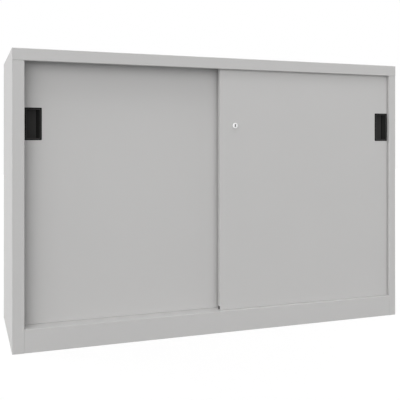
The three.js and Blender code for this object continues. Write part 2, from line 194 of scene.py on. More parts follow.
# %% A finish
class Finish(Network):
    """The network of a material, with the layers that its finish is made of."""

    def __init__(self, name):
        self.material = bpy.data.materials.new(name)
        self.material.use_nodes = True
        super().__init__(self.material.node_tree)
        self.surface = self.tree.nodes["Principled BSDF"]
        self.place = self.node("ShaderNodeTexCoord", output="Object")

    def noise(self, scale, detail=2.0, stretch=(1, 1, 1)):
        """Noise with this many cells to the metre, stretched along the axes."""
        place = self.node("ShaderNodeMapping", inputs={"Vector": self.place, "Scale": stretch})
        return self.node("ShaderNodeTexNoise", inputs={"Vector": place, "Scale": scale, "Detail": detail})

    def blend(self, share, first, second):
        """A colour between two colours."""
        settings = {"data_type": "RGBA"}
        return self.node("ShaderNodeMix", settings, {0: share, 6: first, 7: second}, output=2)

    def along(self, axis):
        """How far a point lies along an axis of the cabinet, in metres."""
        return self.node("ShaderNodeSeparateXYZ", inputs={"Vector": self.place}, output=axis)

    def bump(self, height, depth, strength=1.0):
        """Feeds the normal from a height between 0 and 1, this many metres deep."""
        inputs = {"Height": height, "Distance": depth, "Strength": strength}
        self.set(Normal=self.node("ShaderNodeBump", inputs=inputs))

    def set(self, **values):
        """Sets or links the surface's sockets, a space in a socket's name written as _."""
        for name, value in values.items():
            self.feed(self.surface.inputs[name.replace("_", " ")], value)


def grey(level, warmth=0.0):
    """A linear grey, a little redder and less blue as its warmth grows."""
    return (level * (1 + warmth), level, level * (1 - warmth), 1)


print("a finish starts with", len(Finish("sample").tree.nodes), "nodes")
bpy.data.materials.remove(bpy.data.materials["sample"])

# %% [markdown]
# ## Powder coat
#
# Powder coat is plastic dust baked onto the steel. Seen close, it has a fine orange peel about two
# millimetres across and a few hundredths deep, and its grey drifts a little from place to place as
# the dust lies thicker or thinner. Three layers of noise give these: a slow one for the drift, a
# finer one for the peel, and the finest for the grain in the gloss. The colour is the sheet's own,
# a light grey that is very slightly warm.

# %% Powder coat
PAINT_LIGHT = 0.58
PAINT_DARK = 0.56
PAINT_WARMTH = 0.008
PAINT_ROUGHNESS = 0.46
DRIFT_CELLS = 5
DRIFT_SHARE = 0.7
GRAIN_CELLS = 900
GRAIN_SHARE = 0.3
GRAIN_ROUGHNESS = 0.1
PEEL_CELLS = 420
PEEL_DEPTH = 0.00006


def powder_coat():
    finish = Finish("grey_powder_coat")
    drift = finish.noise(DRIFT_CELLS, detail=3.0)
    grain = finish.noise(GRAIN_CELLS, detail=1.0)
    share = drift * DRIFT_SHARE + grain * GRAIN_SHARE
    colour = finish.blend(share, grey(PAINT_DARK, PAINT_WARMTH), grey(PAINT_LIGHT, PAINT_WARMTH))
    finish.set(Base_Color=colour, Roughness=PAINT_ROUGHNESS + grain * GRAIN_ROUGHNESS)
    finish.bump(finish.noise(PEEL_CELLS), PEEL_DEPTH, strength=0.5)
    return finish.material


powder = powder_coat()
print(powder.name, "has", len(powder.node_tree.nodes), "nodes")

# %% [markdown]
# ## Zinc, nylon, rubber, black plastic and chrome
#
# The hardware inside is zinc plated: a bright metal with faint crystals, and fine streaks from the
# rolling mill. The rollers and guides are white nylon, the stops and buffers black rubber, and the
# channels along the doors' feet are drawn in smooth black plastic, with faint lines along them; their
# black also stands as painted shade in the notch at each door's foot. These three are alike, so one
# function makes them: a noise blends two shades and roughens the gloss. The lock is chromed, and
# shows only hairline scratches. Deep inside its keyway the chrome is painted dark and matt, as
# painted shade.

# %% Hardware finishes
SOFT_BUMP = 0.4
ZINC_DARK = (0.50, 0.52, 0.54, 1)
ZINC_LIGHT = (0.70, 0.72, 0.74, 1)
CRYSTAL_CELLS = 260
CRYSTAL_SHARE = 0.6
STREAK_CELLS = 900
STREAK_STRETCH = (0.05, 1, 1)
CHROME_DARK = (0.94, 0.94, 0.95, 1)
CHROME_LIGHT = (0.97, 0.97, 0.97, 1)
SCRATCH_CELLS = 1500
SCRATCH_STRETCH = (1, 1, 0.08)
KEYWAY_SHADE_BLACK = 0.01
KEYWAY_SHADE_ROUGHNESS = 0.5


def zinc_plate():
    finish = Finish("zinc_plate")
    cells = {"Vector": finish.place, "Scale": CRYSTAL_CELLS}
    crystal = finish.node("ShaderNodeTexVoronoi", inputs=cells, output="Color")
    level = finish.node("ShaderNodeSeparateColor", inputs={0: crystal})
    streak = finish.noise(STREAK_CELLS, stretch=STREAK_STRETCH)
    share = level * CRYSTAL_SHARE + streak * (1 - CRYSTAL_SHARE)
    finish.set(Base_Color=finish.blend(share, ZINC_DARK, ZINC_LIGHT))
    finish.set(Metallic=1.0, Roughness=0.30 + share * 0.16)
    finish.bump(streak, 0.00001, SOFT_BUMP)
    return finish.material


def plastic(name, noise, shades, roughness, depth, pits=None, gloss=0.5):
    """Plastic or rubber. Its roughness is given as the least, and what the noise adds."""
    finish = Finish(name)
    cloud = finish.noise(**noise)
    finish.set(Base_Color=finish.blend(cloud, *shades), Roughness=roughness[0] + cloud * roughness[1])
    finish.set(Specular_IOR_Level=gloss)
    finish.bump(finish.noise(pits) if pits else cloud, depth, SOFT_BUMP)
    return finish.material


def polished_chrome(name="polished_chrome", shade_from=0.0, shade_to=0.0):
    """Chrome, painted dark and matt between two depths, as painted shade deep inside a keyway."""
    finish = Finish(name)
    scratch = finish.noise(SCRATCH_CELLS, stretch=SCRATCH_STRETCH)
    depth = finish.along("Y")
    # Between the two depths the chrome is painted dark and matt: painted shade inside the keyway.
    keyway_shade = (depth > shade_from) * (depth < shade_to)
    plated = finish.blend(scratch, CHROME_DARK, CHROME_LIGHT)
    finish.set(Base_Color=finish.blend(keyway_shade, plated, grey(KEYWAY_SHADE_BLACK)), Metallic=1 - keyway_shade)
    finish.set(Roughness=0.04 + scratch * 0.05 + keyway_shade * KEYWAY_SHADE_ROUGHNESS)
    finish.bump(scratch, 0.000004, strength=0.3)
    return finish.material


white_nylon = plastic(
    "white_nylon", {"scale": 160, "detail": 3.0}, ((0.76, 0.75, 0.70, 1), (0.83, 0.82, 0.78, 1)),
    roughness=(0.42, 0.12), depth=0.00002, pits=1400,
)
black_rubber = plastic(
    "black_rubber", {"scale": 220, "detail": 4.0}, (grey(0.010), (0.020, 0.020, 0.021, 1)),
    roughness=(0.72, 0.16), depth=0.00005,
)
# The channels' black plastic also stands as painted shade in the notch at each door's foot.
channel_plastic_and_shade = plastic(
    "channel_plastic_and_shade", {"scale": 700, "stretch": (0.03, 1, 1)}, (grey(0.006), grey(0.010)),
    roughness=(0.45, 0.15), depth=0.00002, gloss=0.3,
)
finish_of = {
    "body_paint": powder,
    "zinc_steel": zinc_plate(),
    "nylon_white": white_nylon,
    "rubber_black": black_rubber,
    "channel_black": channel_plastic_and_shade,
    "lock_chrome": polished_chrome(),
}
print(len(finish_of), "finishes for", sorted(finish_of))

# %% [markdown]
# ## From a bmesh to a finished piece
#
# A piece is built in a bmesh, in its real place, and then becomes an object that sits at the origin
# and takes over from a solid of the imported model. It rides on the same body and wears the finish of
# the same slot. Three modifiers may finish it. Solidify gives a sheet its thickness, Bevel breaks
# its cut edges, and Weighted Normal keeps the wide faces flat between their rounded edges. A bmesh
# may list its points and faces in another order each time, so they are sorted by their places first.

# %% Finished pieces
MM = 0.001
SHEET = 1 * MM
CUT_EDGE = 0.2 * MM
SHARP_TURN = radians(38)
PLACE_DIGITS = 7
pieces = {}


def in_place_order(bm):
    """The points, edges and faces of a bmesh, so ordered that each run makes the same mesh."""
    verts = sorted(bm.verts, key=lambda vert: [round(part, PLACE_DIGITS) for part in vert.co])
    rank = {vert: index for index, vert in enumerate(verts)}
    faces = []
    for face in bm.faces:
        corners = [rank[vert] for vert in face.verts]
        first = corners.index(min(corners))
        faces.append(corners[first:] + corners[:first])
    return [vert.co for vert in verts], [], sorted(faces)


def finished(bm, node, suffix, thickness=0.0, edge=0.0, segments=2, extra="", finish=None):
    """Makes a piece of a bmesh. It stands for the node, unless it only adds to it."""
    mesh = bpy.data.meshes.new(f"{node}{extra}_{suffix}")
    mesh.from_pydata(*in_place_order(bm))
    bm.free()
    mesh.shade_smooth()
    mesh.materials.append(finish or finish_of[slot_of[node]])
    piece = bpy.data.objects.new(mesh.name, mesh)
    scene.collection.objects.link(piece)
    if thickness:
        solid = piece.modifiers.new("thickness", "SOLIDIFY")
        solid.thickness = thickness
        solid.offset = -1
        solid.use_even_offset = True
    if edge:
        bevel = piece.modifiers.new("edges", "BEVEL")
        bevel.width = edge
        bevel.segments = segments
        bevel.limit_method = "ANGLE"
        bevel.angle_limit = SHARP_TURN
        bevel.use_clamp_overlap = True
    normals = piece.modifiers.new("flat faces", "WEIGHTED_NORMAL")
    normals.keep_sharp = True
    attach(piece, body_of[node])
    if not extra:
        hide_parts(node)
    pieces[piece.name] = piece
    return piece


def folded(bm, node, sheet=SHEET):
    return finished(bm, node, "folded", sheet, CUT_EDGE)


def tell(*made):
    """Prints what was made."""
    for piece in made:
        print(piece.name, len(piece.data.polygons), "faces")


print("a piece can take over any of", len(slot_of), "nodes")

# %% [markdown]
# ## Folding sheet steel
#
# A press brake folds a flat blank along straight lines, so almost every sheet part is one section
# drawn out along an axis. The section's outer line is enough: it is extruded, its folds are
# bevelled to the bend radius, and Solidify adds the sheet's thickness on the inner side. Where the
# line turns away from the thickness, it runs along the inside of the bend, whose radius is smaller.

# %% Folded sheets
BEND = 0.8 * MM
BEND_SEGMENTS = 5
AXIS_NUMBER = {"X": 0, "Y": 1, "Z": 2}
LEFT, RIGHT = -1, 1


def lift(along, place, point):
    """A point of a section, at a place along the axis that the section is drawn out on."""
    lifted = list(point)
    lifted.insert(AXIS_NUMBER[along], place)
    return Vector(lifted)


def extrude(bm, edges):
    """Extrudes edges where they are, and returns the new points, edges and faces."""
    swept = bmesh.ops.extrude_edge_only(bm, edges=edges)["geom"]
    return [[item for item in swept if isinstance(item, kind)] for kind in (BMVert, BMEdge, BMFace)]


def fold_sheet(path, along, span, hand=RIGHT, sheet=SHEET, bm=None):
    """Draws a section out over a span. The sheet lies to the right or left of its path."""
    bm = bm or bmesh.new()
    start = [bm.verts.new(lift(along, span[0], point)) for point in path]
    edges = [bm.edges.new(pair) for pair in zip(start, start[1:])]
    ends, _, faces = extrude(bm, edges)
    bmesh.ops.translate(bm, verts=ends, vec=lift(along, span[1] - span[0], (0, 0)))
    stretch = Vector(path[1]) - Vector(path[0])
    outward = lift(along, 0, Vector((stretch.y, -stretch.x)) * -hand)
    first = edges[0].link_faces[0]
    first.normal_update()
    if first.normal.dot(outward) < 0:
        bmesh.ops.reverse_faces(bm, faces=faces)
    folds = {BEND + sheet: [], BEND: []}
    for index in range(1, len(path) - 1):
        line = next(edge for edge in start[index].link_edges if edge.other_vert(start[index]) in ends)
        before = Vector(path[index]) - Vector(path[index - 1])
        after = Vector(path[index + 1]) - Vector(path[index])
        turns_left = before.cross(after) > 0
        outside = turns_left == (hand == LEFT)
        folds[BEND + sheet if outside else BEND].append(line)
    for radius, lines in folds.items():
        round_folds(bm, lines, radius)
    return bm


def round_folds(bm, lines, radius):
    """Rounds square folds to a radius."""
    if lines:
        bmesh.ops.bevel(
            bm, geom=lines, offset=radius, offset_type="OFFSET", segments=BEND_SEGMENTS,
            profile=0.5, affect="EDGES", material=-1, clamp_overlap=False,
        )


def section(node, draw, along="X", hand=RIGHT, sheet=SHEET):
    """A folded piece as long as its node, whose section is drawn from the node's two corners."""
    low, high = box_of(node)
    axis = AXIS_NUMBER[along]
    return folded(fold_sheet(draw(low, high), along, (low[axis], high[axis]), hand, sheet), node, sheet)


sample = fold_sheet([(0, 0), (0.01, 0), (0.01, 0.01)], "X", (0, 0.1), hand=LEFT)
print("one folded sample has", len(sample.faces), "faces")
sample.free()

# %% [markdown]
# ## Windows and round holes
#
# A punch takes its shape out of the flat sheet. Here the sheet is cut along the planes of a box, and
# the faces inside it are deleted, which leaves a window of any size anywhere on a folded part. A
# round hole starts as a square window. Its four sides are cut into short edges and bridged to a
# circle. A spot weld is the same circle, filled and pressed in a little.

# %% Punching
ON_PLANE = 0.0001 * MM
SAME_PLACE = 0.001 * MM
HOLE_SIDES = 24
SPOT_SIDES = 12
HOLE_MARGIN = 1.5


def slice_at(bm, axis, place, faces=None):
    """Cuts the faces, or all of them, along a plane square to an axis."""
    faces = faces or bm.faces[:]
    edges = dict.fromkeys(edge for face in faces for edge in face.edges)
    verts = dict.fromkeys(vert for face in faces for vert in face.verts)
    normal = Vector((0, 0, 0))
    normal[axis] = 1
    everything = [*verts, *edges, *faces]
    bmesh.ops.bisect_plane(bm, geom=everything, dist=ON_PLANE, plane_co=normal * place, plane_no=normal)


def reaches(face, low, high):
    """Whether a face's own box overlaps another box."""
    return all(
        min(vert.co[axis] for vert in face.verts) < high[axis]
        and max(vert.co[axis] for vert in face.verts) > low[axis]
        for axis in range(3)
    )


def is_inside(point, low, high):
    return all(low[axis] - SAME_PLACE <= point[axis] <= high[axis] + SAME_PLACE for axis in range(3))


def in_order(corner, opposite):
    """The lowest and highest corner of the box between two corners."""
    return zip(*(sorted(pair) for pair in zip(corner, opposite)))


def cut_window(bm, corner, opposite, axes=(0, 1, 2)):
    """Cuts a box-shaped window out of the faces, sliced along the axes that need it."""
    low, high = in_order(corner, opposite)
    for axis in axes:
        for place in (low[axis], high[axis]):
            near = [face for face in bm.faces if reaches(face, low, high)]
            if near:
                slice_at(bm, axis, place, near)
    inside = [face for face in bm.faces if is_inside(face.calc_center_median(), low, high)]
    bmesh.ops.delete(bm, geom=inside, context="FACES")


def open_edges(bm, low, high):
    """The edges in a box that only one face meets."""
    return [
        edge for edge in bm.edges
        if len(edge.link_faces) == 1 and all(is_inside(vert.co, low, high) for vert in edge.verts)
    ]


def cut_round(bm, centre, radius, sides=HOLE_SIDES):
    """Punches a round hole through a sheet that faces front or back, and returns its edge."""
    margin = Vector((radius * HOLE_MARGIN, SHEET / 2, radius * HOLE_MARGIN))
    low, high = centre - margin, centre + margin
    cut_window(bm, low, high, axes=(0, 2))
    bmesh.ops.subdivide_edges(bm, edges=open_edges(bm, low, high), cuts=sides // 4 - 1)
    ring, edges, _ = extrude(bm, open_edges(bm, low, high))
    for vert in ring:
        out = vert.co - centre
        out.y = 0
        vert.co = centre + out.normalized() * radius
    return [edge for edge in edges if len(edge.link_faces) == 1]


def press_spot(bm, centre, radius, depth):
    """Presses a round spot into a sheet that faces front or back."""
    ring = cut_round(bm, centre, radius, SPOT_SIDES)
    disc = bmesh.ops.edgeloop_fill(bm, edges=ring)["faces"]
    bmesh.ops.inset_region(bm, faces=disc, thickness=radius / 3, depth=0)
    dished = {vert for face in disc for vert in face.verts}
    bmesh.ops.translate(bm, verts=list(dished), vec=(0, depth, 0))


sample = bmesh.new()
bmesh.ops.create_grid(sample, size=0.05, matrix=Matrix.Rotation(pi / 2, 4, "X"))
cut_round(sample, Vector((0, 0, 0)), 0.01)
print("a round hole leaves", len(sample.faces), "faces round it")
sample.free()

# %% [markdown]
# ## The side panels
#
# Each side is one sheet. Its front edge is folded round into the stile and then back into the
# cabinet, its rear edge into a flange for the back panel, and its foot into a flange that stands on
# the floor. The left stile is 40 mm wide and the right one 30. The rail of the top panel lies over
# both, so the fold stops under it, and only the flat side goes on up.

# %% Side panels
STILE_RETURN = 10.7 * MM
REAR_FLANGE = 15 * MM
FLOOR_FLANGE = 20 * MM
LEAF_GAP = 1.3 * MM
RAIL_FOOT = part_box("top_panel")[0].z
SEAT = 0.3 * MM
WELDED = 0.02 * MM
PAST = 5 * MM


def side_panel(side_name):
    node, side = f"{side_name}_side_panel", SIDES[side_name]
    low, high = box_of(node)
    outer = high[0] if side > 0 else low[0]
    inner = low[0] if side > 0 else high[0]
    front, rear = low[1], high[1] - LEAF_GAP
    flange = outer - side * (SHEET + REAR_FLANGE)
    path = [(inner, front + STILE_RETURN), (inner, front), (outer, front), (outer, rear), (flange, rear)]
    bm = fold_sheet(path, "Z", (low[2], high[2]), -side)
    stile_top = RAIL_FOOT - SEAT
    start = inner - side * PAST
    corner = (outer + side * PAST, front + BEND + SHEET, high[2] + PAST)
    cut_window(bm, (start, front - PAST, stile_top), corner)
    corner = (inner + side * PAST, front + STILE_RETURN + PAST, high[2] + PAST)
    cut_window(bm, (start, front, stile_top), corner)
    fold_foot(bm, outer, -side, front + STILE_RETURN, rear - BEND - SHEET)
    return folded(bm, node)


def fold_foot(bm, outer, way, start, end):
    """Folds the foot of a side panel inwards between two places."""
    for place in (start, end):
        slice_at(bm, 1, place)
    foot = [
        edge for edge in bm.edges
        if all(is_inside(vert.co, (outer, start, 0), (outer, end, 0)) for vert in edge.verts)
    ]
    bmesh.ops.translate(bm, verts=extrude(bm, foot)[0], vec=(way * (SHEET + FLOOR_FLANGE), 0, 0))
    round_folds(bm, foot, BEND + SHEET)


tell(*(side_panel(side_name) for side_name in SIDES))

# %% [markdown]
# ## The top, the base and the rear rail
#
# The top is folded down at the front into the 40 mm rail, with a narrow return under it. A strip
# welded beneath its rear edge holds the back panel. The base is folded down into the plinth, which
# fits between the stiles, and its own return stands on the floor. A channel carries it at the rear.

# %% Top, base and rear rail
RAIL_RETURN = 12 * MM
STRIP_DROP = 27 * MM
STRIP_LEG = 11 * MM
PLINTH_RETURN = 24 * MM


def top_panel():
    low, high = box_of("top_panel")
    path = [(low[1] + RAIL_RETURN, low[2]), (low[1], low[2]), (low[1], high[2]), (high[1], high[2])]
    bm = fold_sheet(path, "X", (low[0], high[0]))
    behind = low[1] + BEND + SHEET
    under, over = low[2] - PAST, low[2] + PAST
    for side in SIDES.values():
        corner = (side * (high[0] + PAST), behind + RAIL_RETURN, over)
        cut_window(bm, (side * (high[0] - LEAF_GAP), behind, under), corner)
    foot = high[2] - SHEET
    rear = high[1] - LEAF_GAP
    strip = [(rear - STRIP_LEG, foot), (rear, foot), (rear, foot - STRIP_DROP)]
    half = high[0] - SHEET - REAR_FLANGE - SEAT
    fold_sheet(strip, "X", (-half, half), bm=bm)
    return folded(bm, "top_panel")


def base_panel():
    low, high = box_of("base_panel")
    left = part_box("left_side_panel")[1].x + WELDED
    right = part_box("right_side_panel")[0].x - WELDED
    front = low[1]
    path = [(front + PLINTH_RETURN, 0), (front, 0), (front, high[2]), (high[1], high[2])]
    bm = fold_sheet(path, "X", (low[0], high[0]))
    level = high[2] - BEND - SHEET
    behind = front + STILE_RETURN + SEAT
    for start, end in ((low[0] - PAST, left), (right, high[0] + PAST)):
        cut_window(bm, (start, front - PAST, -PAST), (end, front + PLINTH_RETURN + PAST, level))
        cut_window(bm, (start, front - PAST, level), (end, behind, high[2] + PAST))
    return folded(bm, "base_panel")


def rail_channel(low, high):
    return [(low[1], 0), (high[1], 0), (high[1], high[2]), (low[1], high[2])]


tell(top_panel(), base_panel(), section("base_rear_rail", rail_channel, hand=LEFT))

# %% [markdown]
# ## The back panel
#
# The back is a flat sheet, spot welded to the flanges round its edges. Each weld leaves a round
# spot a few millimetres across, pressed in by less than half a millimetre, which the paint softens
# but doesn't fill. The spots lie in rows at an even pitch.

# %% Back panel
WELD_RADIUS = 3 * MM
WELD_DEPTH = 0.4 * MM
WELD_INSET = 8 * MM
WELDS_ACROSS = 11
WELDS_UP = 7


def turn_towards(bm, way):
    """Makes a sheet's widest face look towards the rear, or for a way of -1 to the front."""
    bmesh.ops.recalc_face_normals(bm, faces=bm.faces[:])
    widest = max(bm.faces, key=lambda face: face.calc_area())
    if widest.normal.y * way < 0:
        bmesh.ops.reverse_faces(bm, faces=bm.faces[:])


def flat_sheet(bm, low, high, depth):
    """A flat upright sheet. Returns its corners, from the left one at its foot round over the top."""
    places = [(low[0], low[2]), (low[0], high[2]), (high[0], high[2]), (high[0], low[2])]
    corners = [bm.verts.new((x, depth, z)) for x, z in places]
    bm.faces.new(corners)
    return corners


def back_panel():
    low, high = box_of("back_panel")
    bm = bmesh.new()
    flat_sheet(bm, low, high, high[1])
    foot, head = low[2] + WELD_INSET, high[2] - WELD_INSET
    left, right = low[0] + WELD_INSET, high[0] - WELD_INSET
    steps = range(WELDS_ACROSS)
    welds = [(left + (right - left) * step / (WELDS_ACROSS - 1), z) for step in steps for z in (foot, head)]
    steps = range(1, WELDS_UP)
    welds += [(x, foot + (head - foot) * step / WELDS_UP) for step in steps for x in (left, right)]
    for x, z in welds:
        press_spot(bm, Vector((x, high[1], z)), WELD_RADIUS, -WELD_DEPTH)
    turn_towards(bm, 1)
    return finished(bm, "back_panel", "welded", SHEET, CUT_EDGE)


tell(back_panel())

# %% [markdown]
# ## The doors
#
# A door is a shallow tray, hung with its open side to the back. Its left, top and right edges are
# folded back and then inwards into lips, and its corners are closed. Its foot stays open for the
# channel that runs over the guide, which leaves a notch at the foot of each edge. The photograph
# shows the front door's notch as a small dark spot. The face has a window for the pull, and the
# front door a round hole for the lock.

# %% Doors
DOOR_LIP = 12 * MM
NOTCH_INSET = 1.6 * MM
NOTCH_HEIGHT = 13.5 * MM
PULL_BORDER = 5 * MM
CUP_WALL = 1.5 * MM
BARREL_HOLE = 8.3 * MM


def door_face(door):
    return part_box(f"{door}_door_panel")[0].y


def tray(low, high):
    """A tray with its face to the front, open at the back and at its foot."""
    bm = bmesh.new()
    front = flat_sheet(bm, low, high, low[1])
    rim = [bm.edges.get(pair) for pair in zip(front, front[1:])]
    back, walls, _ = extrude(bm, rim)
    bmesh.ops.translate(bm, verts=back, vec=(0, high[1] - low[1], 0))
    rear = [edge for edge in walls if all(vert in back for vert in edge.verts)]
    head = [vert for vert in front if vert.co.z == high[2]]
    posts = [edge for vert in head for edge in vert.link_edges if edge.other_vert(vert) in back]
    for vert in extrude(bm, rear)[0]:
        vert.co.x += DOOR_LIP if vert.co.x < (low[0] + high[0]) / 2 else -DOOR_LIP
        vert.co.z -= DOOR_LIP if vert.co.z == high[2] else 0
    turn_towards(bm, -1)
    round_folds(bm, rim + posts + rear, BEND + SHEET)
    return bm


def door_panel(door):
    low, high = box_of(f"{door}_door_panel")
    bm = tray(low, high)
    notch_low = (low[0] - PAST, low[1] + NOTCH_INSET, low[2] - PAST)
    notch_high = (high[0] + PAST, high[1] - NOTCH_INSET, low[2] + NOTCH_HEIGHT)
    cut_window(bm, notch_low, notch_high)
    pull_low, pull_high = box_of(f"{door}_door_pull")
    inset = PULL_BORDER - CUP_WALL - SEAT
    cup_low = (pull_low[0] + inset, low[1] - SHEET, pull_low[2] + inset)
    cup_high = (pull_high[0] - inset, low[1] + SHEET, pull_high[2] - inset)
    cut_window(bm, cup_low, cup_high, axes=(0, 2))
    if door == "front":
        cut_round(bm, centre_of("lock_housing", y=low[1]), BARREL_HOLE)
    return folded(bm, f"{door}_door_panel")


tell(*(door_panel(door) for door in ENDS))

# %% [markdown]
# ## Stiffeners, foot channels, tracks and shelves
#
# These are plain folded sections: a hat behind each door's face, a channel along each door's foot, a
# slotted track under the top, and two shelves with a double fold at the front and the rear. Each is
# a short function that gives its section's path, and one call.

# %% Plain sections
HAT_FOOT = 12 * MM
TRACK_SHEET = 1.2 * MM
TRACK_FRONT_LIP = 16 * MM
TRACK_SLOT = 5.5 * MM
SHELF_RETURN = 12 * MM


def hat(low, high):
    foot = low[1] + SHEET
    left, right = low[0] + HAT_FOOT, high[0] - HAT_FOOT
    return [(low[0], foot), (left, foot), (left, high[1]), (right, high[1]), (right, foot), (high[0], foot)]


def channel(low, high):
    return [(low[1], low[2]), (low[1], high[2]), (high[1], high[2]), (high[1], low[2])]


def shelf(low, high):
    front, rear = low[1] + SHELF_RETURN, high[1] - SHELF_RETURN
    return [(front, low[2]), *channel(low, high), (rear, low[2])]


def track(low, high):
    lip = low[1] + TRACK_FRONT_LIP
    return [(lip, low[2]), *channel(low, high), (lip + TRACK_SLOT, low[2])]


for door in ENDS:
    tell(section(f"{door}_door_stiffener", hat, "Z"), section(f"{door}_door_foot_channel", channel))
    tell(section(f"{door}_top_track", track, sheet=TRACK_SHEET))
tell(*(section(f"{level}_shelf", shelf) for level in LEVELS))

# %% [markdown]
# ## Uprights, hangers and the keeper
#
# A slotted upright stands in each corner inside, and the shelf clips hook into its slots. Each door
# hangs from two angle brackets, screwed down on its top edge, that pass up through the slot of the
# track and carry an axle each. The keeper is a bracket on the rear door, for the lock's cam to stand
# beside. All are folded sections again, with a row of windows or one round hole.

# %% Uprights, hangers and the keeper
SLOT_PITCH = 48 * MM
SLOT_START = 36 * MM
SLOT_WIDTH = 3 * MM
SLOT_HEIGHT = 12 * MM
HANGER_SHEET = 2 * MM
AXLE_HOLE = 2.8 * MM
KEEPER_SHEET = 2 * MM
KEEPER_GAP = 3 * MM


def upright(end, side_name):
    node = f"shelf_upright_{end}_{side_name}"
    low, high = box_of(node)
    side = SIDES[side_name]
    wall, web = (high[0], low[0]) if side > 0 else (low[0], high[0])
    path = [(wall, low[1]), (web, low[1]), (web, high[1]), (wall, high[1])]
    bm = fold_sheet(path, "Z", (low[2], high[2]), side)
    middle = (low[1] + high[1]) / 2
    slot = low[2] + SLOT_START
    while slot + SLOT_HEIGHT < high[2]:
        start = (web - SHEET, middle - SLOT_WIDTH / 2, slot - SLOT_HEIGHT / 2)
        end = (web + SHEET, middle + SLOT_WIDTH / 2, slot + SLOT_HEIGHT / 2)
        cut_window(bm, start, end, axes=(1, 2))
        slot += SLOT_PITCH
    return folded(bm, node)


def hanger(door, side_name):
    node = f"{door}_door_hanger_{side_name}"
    low, high = box_of(node)
    path = [(low[1], low[2]), (high[1], low[2]), (high[1], high[2])]
    bm = fold_sheet(path, "X", (low[0], high[0]), LEFT, HANGER_SHEET)
    cut_round(bm, centre_of(f"{door}_door_axle_{side_name}", y=high[1]), AXLE_HOLE)
    return folded(bm, node, HANGER_SHEET)


def keeper_bracket(low, high):
    leaf = door_face("rear") - KEEPER_GAP
    end = high[0] - KEEPER_SHEET
    return [(low[0], high[1]), (low[0], leaf), (end, leaf), (end, low[1])]


tell(*(upright(end, side_name) for end in ENDS for side_name in SIDES))
tell(*(hanger(door, side_name) for door in ENDS for side_name in SIDES))
tell(section("lock_keeper", keeper_bracket, "Z", LEFT, KEEPER_SHEET))

# %% [markdown]
# ## Moulded and stacked shapes
#
# The pulls, the lock and the small blocks are solid, so they are built as a stack of closed loops:
# each loop is an outline at its own depth, neighbouring loops are joined by faces, and the first and
# last are capped. All loops of a stack have the same number of points. A step from one outline to
# the next makes a wall, a rounded lip or a bore, whichever way it goes.

# %% Loops and stacks
CORNER_POINTS = 12
LOOP_POINTS = 4 * CORNER_POINTS


def quarter_turns(*turns):
    """Points round four quarter turns, each given by its centre, its radius and its steps."""
    points = []
    for quarter, (x, z, radius, steps) in enumerate(turns):
        for step in range(CORNER_POINTS):
            angle = (quarter + step / steps) * pi / 2
            points.append((x + radius * cos(angle), z + radius * sin(angle)))
    return points


def rounded_outline(left, right, foot, head, radius):
    """A rectangle with rounded corners, from its right side round over the top."""
    left, right, foot, head = left + radius, right - radius, foot + radius, head - radius
    centres = ((right, head), (left, head), (left, foot), (right, foot))
    return quarter_turns(*((*centre, radius, CORNER_POINTS - 1) for centre in centres))


def round_outline(x, z, radius, flats=0):
    """A circle, or a regular shape with flats whose corners lie on that circle."""
    points = []
    for step in range(LOOP_POINTS):
        angle = 2 * pi * step / LOOP_POINTS
        reach = radius
        if flats:
            half = pi / flats
            reach *= cos(half) / cos((angle + pi / 2) % (2 * half) - half)
        points.append((x + reach * cos(angle), z + reach * sin(angle)))
    return points


def merged(bm):
    """Joins points in the same place, and turns every face outwards."""
    bmesh.ops.remove_doubles(bm, verts=bm.verts[:], dist=SAME_PLACE)
    bmesh.ops.recalc_face_normals(bm, faces=bm.faces[:])
    return bm


def stack(loops, capped=True):
    """Joins outlines, each given with its depth, into one shape."""
    bm = bmesh.new()
    rings = [[bm.verts.new((x, y, z)) for x, z in outline] for outline, y in loops]
    pairs = list(zip(rings, rings[1:]))
    if not capped:
        pairs.append((rings[-1], rings[0]))
    for first, second in pairs:
        for index in range(len(first)):
            after = (index + 1) % len(first)
            bm.faces.new((first[index], first[after], second[after], second[index]))
    if capped:
        bm.faces.new(rings[0])
        bm.faces.new(rings[-1])
    return merged(bm)


sample = stack([(round_outline(0, 0, 0.01), 0), (round_outline(0, 0, 0.01), 0.02)])
print("a short rod has", len(sample.faces), "faces")
sample.free()

# %% [markdown]
# ## The flush pulls
#
# A pull is one moulding in black plastic. A thin border lies on the door round the mouth, with a fine
# raised lip that catches the light and overhangs the cup a little, as an edge for the fingers. The
# cup is 12 mm deep. Its right side is a slope, which the fingertips find as they slide in, and both
# doors have it on the same side. A mould can't be sharp, so every corner is rounded a little. The
# plastic is darkest on its border, and lighter and rougher in the cup, with a fine grain. The slope is
# painted darker, as painted shade, the crease at its foot darker still, as painted shade, and the
# lip is painted pale, as a painted highlight.

# %% Flush pulls
BORDER_HEIGHT = 0.4 * MM
LIP_WIDTH = 2.4 * MM
LIP_OVERHANG = 1.6 * MM
LIP_DEPTH = 1.2 * MM
EASE = 0.3 * MM
PULL_SLOPE = 11 * MM
PULL_CORNER = 2.5 * MM
CUP_DRAFT = 0.3 * MM
MOUTH_CORNER = 2 * MM
LIP_STEPS = 6
CREASE = 3.5 * MM
CREASE_SHADE = 0.95
HALF_EASED = 0.3
PULL_GRAIN_CELLS = 1600
PULL_GLOSS = 0.12
BASE_BLACK = 0.002
SHADED_SLOPE_BLACK = 0.011
CUP_BLACK = 0.029
LIP_HIGHLIGHT = 0.05


